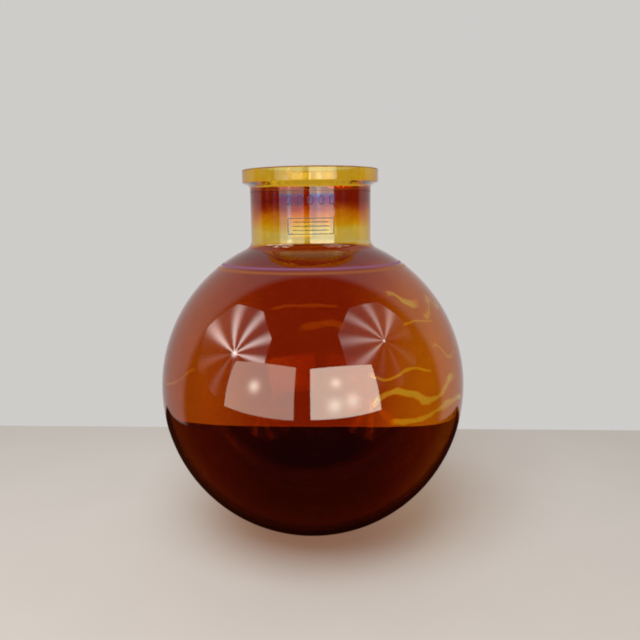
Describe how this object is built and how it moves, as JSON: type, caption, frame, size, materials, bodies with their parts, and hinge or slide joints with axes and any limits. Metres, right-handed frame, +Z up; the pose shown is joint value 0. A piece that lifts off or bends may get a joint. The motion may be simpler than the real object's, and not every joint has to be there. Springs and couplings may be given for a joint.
{
  "type": "round bottom flask",
  "caption": "Large round bottom flask of amber-stained borosilicate glass with a wide flanged neck, used as the evaporating flask of a rotary evaporator.",
  "frame": {"origin": "middle of the small flat under the ball, on which the flask stands", "axes": "+Z up along the axis of the flask, out of its mouth; -Y towards the front of the neck, where the enamel marks are; +X to the right seen from the front"},
  "size_m": [0.3449, 0.345, 0.4134],
  "materials": {
    "bulb_glass": "polished",
    "neck_glass": "polished",
    "flange_glass": "polished",
    "enamel_print": "satin"
  },
  "bodies": {
    "root": {"bulb": "bulb_glass", "neck": "neck_glass", "flange": "flange_glass", "capacity_digits": "enamel_print", "label_frame": "enamel_print", "label_rules": "enamel_print"}
  },
  "joints": []
}
